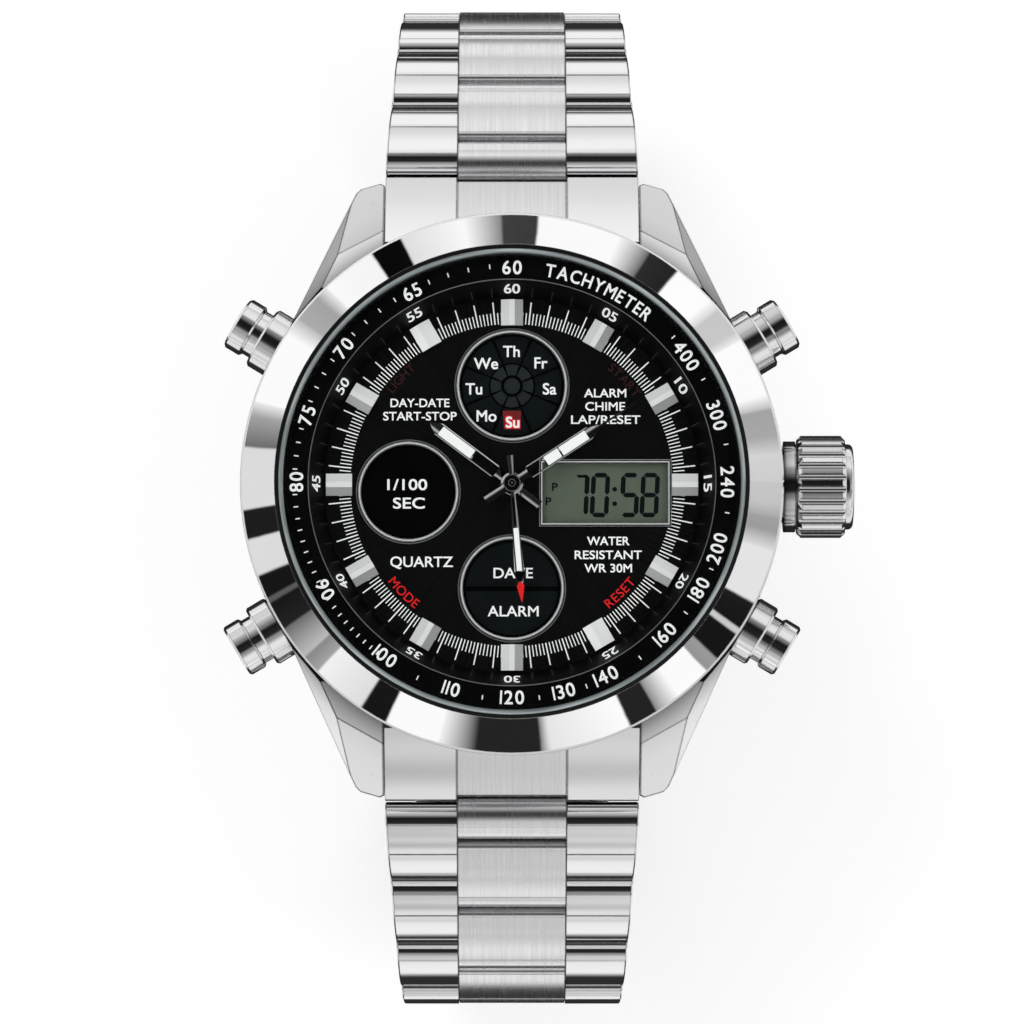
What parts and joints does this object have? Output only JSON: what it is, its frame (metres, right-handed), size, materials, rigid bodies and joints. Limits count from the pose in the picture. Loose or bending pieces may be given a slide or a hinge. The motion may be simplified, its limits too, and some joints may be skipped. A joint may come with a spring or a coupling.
{
  "type": "wristwatch",
  "caption": "Analogue and digital wristwatch with a conical bezel, four side buttons, a crown and a closed link bracelet with a folding clasp.",
  "frame": {"origin": "centre of the case back's outer face", "axes": "+Z out through the dial, +Y to 12 o'clock, +X to the crown; the closed bracelet hangs below, towards -Z"},
  "size_m": [0.0545, 0.0896, 0.0588],
  "materials": {
    "polished_steel": "mirror polished stainless steel",
    "brushed_steel": "satin stainless steel",
    "crystal_glass": "clear flat crystal",
    "seal_rubber": "matt",
    "dial_black": "fine grained black lacquer",
    "ring_black": "satin black",
    "display_glass": "grey green liquid crystal",
    "brass_plate": "fine grained",
    "wheel_brass": "polished",
    "coil_copper": "enamelled wire",
    "board_green": "solder mask",
    "holder_plastic": "moulded",
    "spring_steel": "drawn wire"
  },
  "bodies": {
    "case": {"mid_case": "polished_steel", "bezel": "polished_steel", "crystal": "crystal_glass", "case_back": "brushed_steel", "pusher_tubes": "polished_steel", "end_link_12": "polished_steel", "end_link_6": "polished_steel", "gaskets": "seal_rubber", "tachymeter_ring": "ring_black", "dial": "dial_black", "hour_markers": "polished_steel", "dial_frames": "polished_steel", "lcd_panel": "display_glass", "movement_ring": "holder_plastic", "main_plate": "brass_plate", "train_bridge": "brass_plate", "circuit_board": "board_green", "stepper_coil": "coil_copper", "battery": "brushed_steel", "battery_clip": "spring_steel", "buzzer": "wheel_brass", "case_back_screws": "brushed_steel", "crown_tube": "spring_steel", "pusher_springs": "spring_steel", "spring_bars": "spring_steel"},
    "hour": {"hour_hand": "polished_steel", "hour_wheel": "wheel_brass"},
    "minute": {"minute_hand": "polished_steel", "centre_wheel": "wheel_brass"},
    "second": {"second_hand": "polished_steel", "seconds_wheel": "wheel_brass"},
    "minute_wheel": {"minute_wheel": "wheel_brass"},
    "third_wheel": {"third_wheel": "wheel_brass"},
    "rotor": {"rotor": "spring_steel"},
    "setting": {"setting_lever": "spring_steel"},
    "crown": {"crown": "polished_steel", "winding_stem": "spring_steel"},
    "pusher_2": {"pusher_2": "polished_steel"},
    "pusher_4": {"pusher_4": "polished_steel"},
    "pusher_8": {"pusher_8": "polished_steel"},
    "pusher_10": {"pusher_10": "polished_steel"},
    "link_12_1": {"link_12_1": "brushed_steel"},
    "link_12_2": {"link_12_2": "brushed_steel"},
    "link_12_3": {"link_12_3": "brushed_steel"},
    "link_12_4": {"link_12_4": "brushed_steel"},
    "link_12_5": {"link_12_5": "brushed_steel"},
    "link_12_6": {"link_12_6": "brushed_steel"},
    "link_12_7": {"link_12_7": "brushed_steel"},
    "link_12_8": {"link_12_8": "brushed_steel"},
    "link_6_1": {"link_6_1": "brushed_steel"},
    "link_6_2": {"link_6_2": "brushed_steel"},
    "link_6_3": {"link_6_3": "brushed_steel"},
    "link_6_4": {"link_6_4": "brushed_steel"},
    "link_6_5": {"link_6_5": "brushed_steel"},
    "link_6_6": {"link_6_6": "brushed_steel"},
    "link_6_7": {"link_6_7": "brushed_steel"},
    "link_6_8": {"link_6_8": "brushed_steel"},
    "clasp_inner": {"clasp_inner_blade": "brushed_steel"},
    "clasp_outer": {"clasp_outer_blade": "brushed_steel"},
    "clasp_cover": {"clasp_cover": "brushed_steel"}
  },
  "joints": [
    {"name": "second_turn", "type": "hinge", "parent": "case", "child": "second", "pos_m": [0, 0, 0.004], "axis": [0, 0, -1], "continuous": true},
    {"name": "minute_turn", "type": "hinge", "parent": "case", "child": "minute", "pos_m": [0, 0, 0.004], "axis": [0, 0, -1], "continuous": true},
    {"name": "hour_turn", "type": "hinge", "parent": "case", "child": "hour", "pos_m": [0, 0, 0.004], "axis": [0, 0, -1], "continuous": true},
    {"name": "third_turn", "type": "hinge", "parent": "case", "child": "third_wheel", "pos_m": [-0.0019, 0.00226, 0.004], "axis": [0, 0, -1], "continuous": true},
    {"name": "minute_wheel_turn", "type": "hinge", "parent": "case", "child": "minute_wheel", "pos_m": [-0.00089, -0.00244, 0.004], "axis": [0, 0, -1], "continuous": true},
    {"name": "rotor_turn", "type": "hinge", "parent": "case", "child": "rotor", "pos_m": [0.00282, 0.00103, 0.004], "axis": [0, 0, -1], "continuous": true},
    {"name": "crown_pull", "type": "slide", "parent": "case", "child": "setting", "axis": [1, 0, 0], "range_m": [0, 0.001]},
    {"name": "crown_turn", "type": "hinge", "parent": "setting", "child": "crown", "pos_m": [0.026, 0, 0.0054], "axis": [1, 0, 0], "continuous": true},
    {"name": "pusher_2_press", "type": "slide", "parent": "case", "child": "pusher_2", "axis": [-0.8572, -0.515, 0], "range_m": [0, 0.0008], "stiffness_N_per_m": 500, "springref_m": -0.001},
    {"name": "pusher_10_press", "type": "slide", "parent": "case", "child": "pusher_10", "axis": [0.8572, -0.515, 0], "range_m": [0, 0.0008], "stiffness_N_per_m": 500, "springref_m": -0.001},
    {"name": "pusher_8_press", "type": "slide", "parent": "case", "child": "pusher_8", "axis": [0.8572, 0.515, 0], "range_m": [0, 0.0008], "stiffness_N_per_m": 500, "springref_m": -0.001},
    {"name": "pusher_4_press", "type": "slide", "parent": "case", "child": "pusher_4", "axis": [-0.8572, 0.515, 0], "range_m": [0, 0.0008], "stiffness_N_per_m": 500, "springref_m": -0.001},
    {"name": "link_12_1_hinge", "type": "hinge", "parent": "case", "child": "link_12_1", "pos_m": [0, 0.02882, 0.0029], "axis": [1, 0, 0], "range_deg": [0, 23]},
    {"name": "link_12_2_hinge", "type": "hinge", "parent": "link_12_1", "child": "link_12_2", "pos_m": [0, 0.03467, -0.00256], "axis": [1, 0, 0], "range_deg": [0, 5]},
    {"name": "link_12_3_hinge", "type": "hinge", "parent": "link_12_2", "child": "link_12_3", "pos_m": [0, 0.04002, -0.0085], "axis": [1, 0, 0], "range_deg": [0, 20]},
    {"name": "link_12_4_hinge", "type": "hinge", "parent": "link_12_3", "child": "link_12_4", "pos_m": [0, 0.04302, -0.01592], "axis": [1, 0, 0], "range_deg": [0, 22]},
    {"name": "link_12_5_hinge", "type": "hinge", "parent": "link_12_4", "child": "link_12_5", "pos_m": [0, 0.04302, -0.02392], "axis": [1, 0, 0], "range_deg": [0, 20]},
    {"name": "link_12_6_hinge", "type": "hinge", "parent": "link_12_5", "child": "link_12_6", "pos_m": [0, 0.04028, -0.03144], "axis": [1, 0, 0], "range_deg": [0, 20]},
    {"name": "link_12_7_hinge", "type": "hinge", "parent": "link_12_6", "child": "link_12_7", "pos_m": [0, 0.03514, -0.03756], "axis": [1, 0, 0], "range_deg": [0, 20]},
    {"name": "link_12_8_hinge", "type": "hinge", "parent": "link_12_7", "child": "link_12_8", "pos_m": [0, 0.02821, -0.04156], "axis": [1, 0, 0], "range_deg": [0, 16]},
    {"name": "link_6_1_hinge", "type": "hinge", "parent": "case", "child": "link_6_1", "pos_m": [0, -0.02882, 0.0029], "axis": [-1, 0, 0], "range_deg": [0, 23]},
    {"name": "link_6_2_hinge", "type": "hinge", "parent": "link_6_1", "child": "link_6_2", "pos_m": [0, -0.03467, -0.00256], "axis": [-1, 0, 0], "range_deg": [0, 5]},
    {"name": "link_6_3_hinge", "type": "hinge", "parent": "link_6_2", "child": "link_6_3", "pos_m": [0, -0.04002, -0.0085], "axis": [-1, 0, 0], "range_deg": [0, 20]},
    {"name": "link_6_4_hinge", "type": "hinge", "parent": "link_6_3", "child": "link_6_4", "pos_m": [0, -0.04302, -0.01592], "axis": [-1, 0, 0], "range_deg": [0, 22]},
    {"name": "link_6_5_hinge", "type": "hinge", "parent": "link_6_4", "child": "link_6_5", "pos_m": [0, -0.04302, -0.02392], "axis": [-1, 0, 0], "range_deg": [0, 20]},
    {"name": "link_6_6_hinge", "type": "hinge", "parent": "link_6_5", "child": "link_6_6", "pos_m": [0, -0.04028, -0.03144], "axis": [-1, 0, 0], "range_deg": [0, 20]},
    {"name": "link_6_7_hinge", "type": "hinge", "parent": "link_6_6", "child": "link_6_7", "pos_m": [0, -0.03514, -0.03756], "axis": [-1, 0, 0], "range_deg": [0, 20]},
    {"name": "link_6_8_hinge", "type": "hinge", "parent": "link_6_7", "child": "link_6_8", "pos_m": [0, -0.02821, -0.04156], "axis": [-1, 0, 0], "range_deg": [0, 16]},
    {"name": "clasp_inner_hinge", "type": "hinge", "parent": "link_6_8", "child": "clasp_inner", "pos_m": [0, -0.02045, -0.0435], "axis": [-1, 0, 0], "range_deg": [0, 14]},
    {"name": "clasp_fold", "type": "hinge", "parent": "clasp_inner", "child": "clasp_outer", "pos_m": [0, 0.01185, -0.04323], "axis": [1, 0, 0], "range_deg": [0, 150]},
    {"name": "clasp_cover_hinge", "type": "hinge", "parent": "clasp_outer", "child": "clasp_cover", "pos_m": [0, -0.01425, -0.04375], "axis": [1, 0, 0], "range_deg": [-150, 0]}
  ],
  "couplings": [
    {"joint": "minute_turn", "follows": "second_turn", "ratio": 0.016667},
    {"joint": "hour_turn", "follows": "second_turn", "ratio": 0.0013889},
    {"joint": "third_turn", "follows": "second_turn", "ratio": -0.13333},
    {"joint": "minute_wheel_turn", "follows": "second_turn", "ratio": -0.0055556},
    {"joint": "rotor_turn", "follows": "second_turn", "ratio": -30},
    {"joint": "clasp_cover_hinge", "follows": "clasp_fold", "ratio": -1}
  ]
}
